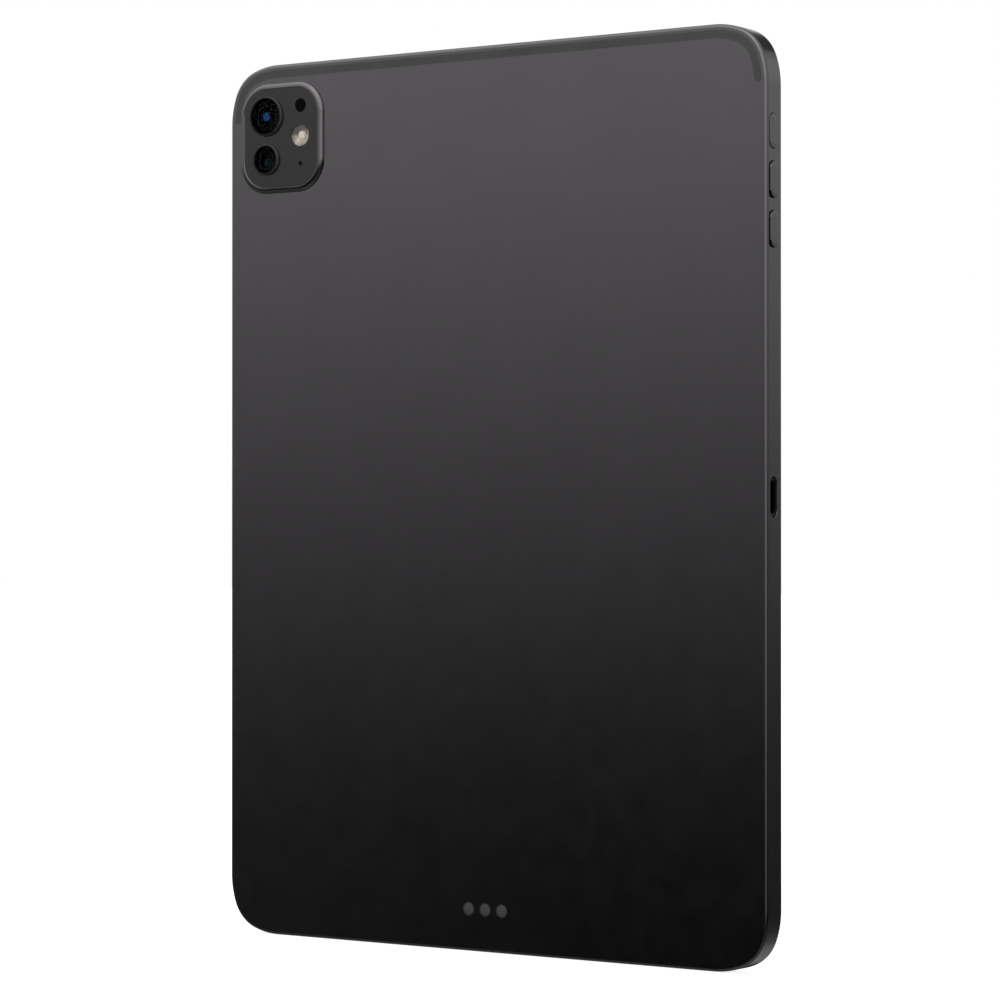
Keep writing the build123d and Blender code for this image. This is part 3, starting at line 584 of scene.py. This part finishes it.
def make_flash():
    """The flash: a clear window over a stepped reflector and one domed lamp."""
    x, y, radius, (low, top) = round_place("flash_lens")
    under, base = top - FLASH_GLASS, low - 1.0
    window = turned("flash_window", x, y, radius, disc(under, top, *FLASH_EDGE))
    piece(window, "flash_window", "flash_lens")
    window.data.materials[0] = clear("flash_glass", (1.0, 0.98, 0.95), 1.3)

    cup = [(0, base), (0, under - FIT), (CUP_RIM, under - FIT)]
    for step in range(CUP_STEPS):
        inset, depth = 0.3 + CUP_PITCH * step, under - 0.1 - CUP_DROP * step
        cup += [(inset, depth), (inset + CUP_FACET[0], depth - CUP_FACET[1])]
    cup += [(CUP_WIDE, low - 0.15), (CUP_WIDE, base)]
    reflector = piece(turned("flash_reflector", x, y, radius - FIT, cup, True), "flash_window", crease=20)
    # The reflector's colour carries a painted highlight, brighter on one side of its axis
    reflector.data.materials[0] = flash_painted_highlight(
        "flash_reflector", x + REFLECTOR_HIGHLIGHT_SHIFT, y, (0.54, 0.52, 0.47), (0.25, 0.235, 0.225), (0.8, 3.2),
        Metallic=0.7, Roughness=0.3)

    x, y = x + LAMP_SHIFT[0], y + LAMP_SHIFT[1]
    dome = [(0, low - 0.9)] + quarter(LAMP_R, LAMP_DOME, low - 0.3, 10)[:-1]
    lamp = piece(turned("flash_lamp", x, y, LAMP_R, dome), "flash_window")
    # The lamp's colour carries a painted highlight near its axis, and its faint emission is a painted glow
    lamp.data.materials[0] = flash_painted_highlight(
        "flash_phosphor_painted_glow", x, y, (0.86, 0.83, 0.72), (0.44, 0.42, 0.37), (0.7, 1.7),
        Emission_Color=(1.0, 0.95, 0.85), Emission_Strength=0.07)


def make_small_windows():
    """The light sensor's black disc, and the rear microphone's cup."""
    x, y, radius, (low, top) = round_place("sensor_window")
    profile = [(-SPREAD, low), (-SPREAD, BACK), (0, BACK), (0, top - 0.08), (0.03, top - 0.02), (0.1, top)]
    piece(turned("sensor_cover", x, y, radius, profile), "dark_window", "sensor_window")
    x, y, radius, (low, _) = round_place("rear_mic_mesh")
    rim, floor = PLATE_TOP - 0.03, low - MIC_DEPTH
    cup = [(0, BACK), (0, rim), (MIC_RIM, rim), (MIC_RIM, floor), (MIC_WALL, floor), (MIC_WALL, BACK)]
    piece(turned("rear_mic_cup", x, y, radius, cup, True), "fine_mesh", "rear_mic_mesh")


def make_contacts():
    """Three slightly crowned studs, each with its tail, in their insulating rings."""
    low, top = spans("accessory_contacts")[2]
    studs = bmesh.new()
    for x, y, radius in contact_places():
        tail = radius - CONTACT_TAIL
        crown = quarter(radius, CONTACT_DOME, top - CONTACT_DOME, 9)[:-1] + [(radius * 0.98, top)]
        sweep(studs, circle(x, y, radius), [(tail, low), (tail, INSIDE_BACK), (0, INSIDE_BACK)] + crown)
    piece(settled(studs, "contact_studs"), "contact_metal", "accessory_contacts")


# The edges

CAP_EDGE, CAP_CROWN = 0.1, 0.03
FLANGE_DEPTHS = (0.5, 0.03)  # of a button's flange, behind the wall
PLUNGER_LONG, PLUNGER_WIDE, PLUNGER_R = 1.2, 0.8, 0.2  # half its length and half its width
GLASS_EDGE_R = 0.3


def make_button(name):
    """A crowned cap, the flange that keeps it in, and its plunger."""
    (tip, crest), flange_y, flange_z = spans(name)
    y, z = cap_span(name)
    root, face = (EDGE_X - SIDE_WALL - depth for depth in FLANGE_DEPTHS)
    cap = [(0, face)] + arc((CAP_EDGE, crest - CAP_CROWN - CAP_EDGE), CAP_EDGE, 180, 90, 8)
    mesh = sweep(bmesh.new(), pill(y, z), cap + [(0.8, crest - 0.01), (1.3, crest)], sideways)
    prism(mesh, pill(flange_y, flange_z)(), (root, face), sideways)
    long = (middle(y) - PLUNGER_LONG, middle(y) + PLUNGER_LONG)
    wide = (middle(z) - PLUNGER_WIDE, middle(z) + PLUNGER_WIDE)
    plunger = outline(long, wide, ((PLUNGER_R, 90),))
    sweep(mesh, plunger, [(0.1, tip), (0, tip + 0.1), (0, root)], sideways)
    piece(settled(mesh, f"{name}_cap"), "button_metal", name, body=name)


def make_glass():
    """The display's cover glass, its front edge rounded over."""
    x, _, (front, under) = spans("cover_glass")
    inset, radius = x[0] - BODY_X[0], GLASS_EDGE_R
    profile = [(inset, under)] + arc((inset + radius, front + radius), radius, 180, 270, 8)
    piece(settled(sweep(bmesh.new(), body, profile), "display_cover"), "display_glass", "cover_glass")


make_housing()
make_band()
make_island()
for which, looks in LENSES.items():
    make_lens(which, *looks)
make_flash()
make_small_windows()
make_contacts()
for button in BUTTONS:
    make_button(button)
make_glass()


# Stage, light and camera

FLOOR_SIZE, FLOOR_DROP, FLOOR_GLOW, FLOOR_BLOTCHES = 8, 0.0002, 0.85, 300
# The room above: straight up, the cosines between which it brightens, and its strength
SKY = ((0, 0, 1), -0.1, 0.17, 0.73)
# Panels: direction from the tablet, the half angles between which the panel fades, and its strength
PANELS = (
    ((0.35, -0.75, 0.5), 12, 50, 1.0),  # in front, to the right: the highlight along the back's edge
    ((-0.966, -0.259, 0), 20, 45, 0.1),  # left
    ((0.866, 0.5, 0.36), 15, 60, 0.06),  # right, behind
    ((-0.3, -0.4, 0.85), 15, 50, 0.6),  # overhead
    ((-0.5, -0.1, -0.85), 20, 58, 0.2),  # what the floor sends back
    ((-0.364, -0.527, 0.768), 20, 52, 0.4),  # high in front, to the left: the top of the back
    ((0.4, 0.6, -0.8), 15, 50, 0.12),  # low, behind, to the right: the foot of the long edge
    ((0.35, -0.2, -0.9), 20, 60, 0.18),  # low in front, to the right
    ((0, 0.823, -0.568), 8, 28, 0.36),  # low behind: the bottom corner
)
# A black flag, high behind: as a panel, but its strength is the share of the light that it stops
FLAG = ((0, 0.823, 0.568), 10, 26, 0.85)


def make_floor():
    """A white floor that takes only a trace of shadow, and that the tablet doesn't mirror."""
    bpy.ops.mesh.primitive_plane_add(size=FLOOR_SIZE, location=(0, 0, -FLOOR_DROP))
    floor = bpy.context.object
    floor.name = "floor"
    white = (1.0, 1.0, 1.0)
    nodes = Nodes("floor").set(Roughness=0.9, Specular_IOR_Level=0.1, Emission_Color=white,
                               Emission_Strength=FLOOR_GLOW)
    drift = nodes.ranged(nodes.noise(FLOOR_BLOTCHES), 0, 1)
    nodes.join(nodes.mixed(drift, (0.4, 0.4, 0.4), (0.42, 0.42, 0.42)), "Base Color")
    floor.data.materials.append(nodes.material)
    floor.visible_glossy = floor.visible_diffuse = floor.visible_transmission = False


def make_world():
    """A white room to the camera. As light, it is bright above and dark below, with panels and a flag."""
    world = bpy.data.worlds.new("studio")
    bpy.context.scene.world = world
    world.use_nodes = True
    tree = world.node_tree
    tree.nodes.clear()
    link = tree.links.new
    where = tree.nodes.new("ShaderNodeTexCoord").outputs["Generated"]

    def math(operation, a, b):
        node = tree.nodes.new("ShaderNodeMath")
        node.operation = operation
        for socket, value in zip(node.inputs, (a, b)):
            if isinstance(value, (int, float)):
                socket.default_value = value
            else:
                link(value, socket)
        return node.outputs["Value"]

    def fade(direction, low, high, strength):
        """Rises smoothly to the strength as the view's cosine with the direction goes from low to high."""
        along = tree.nodes.new("ShaderNodeVectorMath")
        along.operation = "DOT_PRODUCT"
        along.inputs[1].default_value = Vector(direction).normalized()
        link(where, along.inputs[0])
        node = tree.nodes.new("ShaderNodeMapRange")
        node.interpolation_type = "SMOOTHSTEP"
        node.inputs["From Min"].default_value, node.inputs["From Max"].default_value = low, high
        node.inputs["To Max"].default_value = strength
        link(along.outputs["Value"], node.inputs["Value"])
        return node.outputs["Result"]

    def panel(direction, inner, outer, strength):
        return fade(direction, cos(radians(outer)), cos(radians(inner)), strength)

    total = fade(*SKY)
    for settings in PANELS:
        total = math("ADD", total, panel(*settings))
    total = math("MULTIPLY", total, math("SUBTRACT", 1.0, panel(*FLAG)))

    light = tree.nodes.new("ShaderNodeBackground")
    seen = tree.nodes.new("ShaderNodeBackground")
    mix = tree.nodes.new("ShaderNodeMixShader")
    path = tree.nodes.new("ShaderNodeLightPath")
    output = tree.nodes.new("ShaderNodeOutputWorld")
    link(total, light.inputs["Strength"])
    link(path.outputs["Is Camera Ray"], mix.inputs["Fac"])
    link(light.outputs["Background"], mix.inputs[1])
    link(seen.outputs["Background"], mix.inputs[2])
    link(mix.outputs["Shader"], output.inputs["Surface"])
    for background in (light, seen):
        background.inputs["Color"].default_value = (1, 1, 1, 1)


def make_camera():
    data = bpy.data.cameras.new("camera")
    data.lens, data.sensor_width = CAMERA_LENS, 36
    data.shift_x, data.shift_y = CAMERA_SHIFT
    camera = bpy.data.objects.new("camera", data)
    azimuth, elevation = radians(CAMERA_AZIMUTH), radians(CAMERA_ELEVATION)
    away = Vector((cos(elevation) * sin(azimuth), -cos(elevation) * cos(azimuth), sin(elevation)))
    camera.location = CAMERA_TARGET + away * CAMERA_DISTANCE
    camera.rotation_euler = (CAMERA_TARGET - camera.location).to_track_quat("-Z", "Y").to_euler()
    bpy.context.scene.collection.objects.link(camera)
    bpy.context.scene.camera = camera


make_floor()
make_world()
make_camera()
bpy.context.scene.view_settings.view_transform = "Standard"
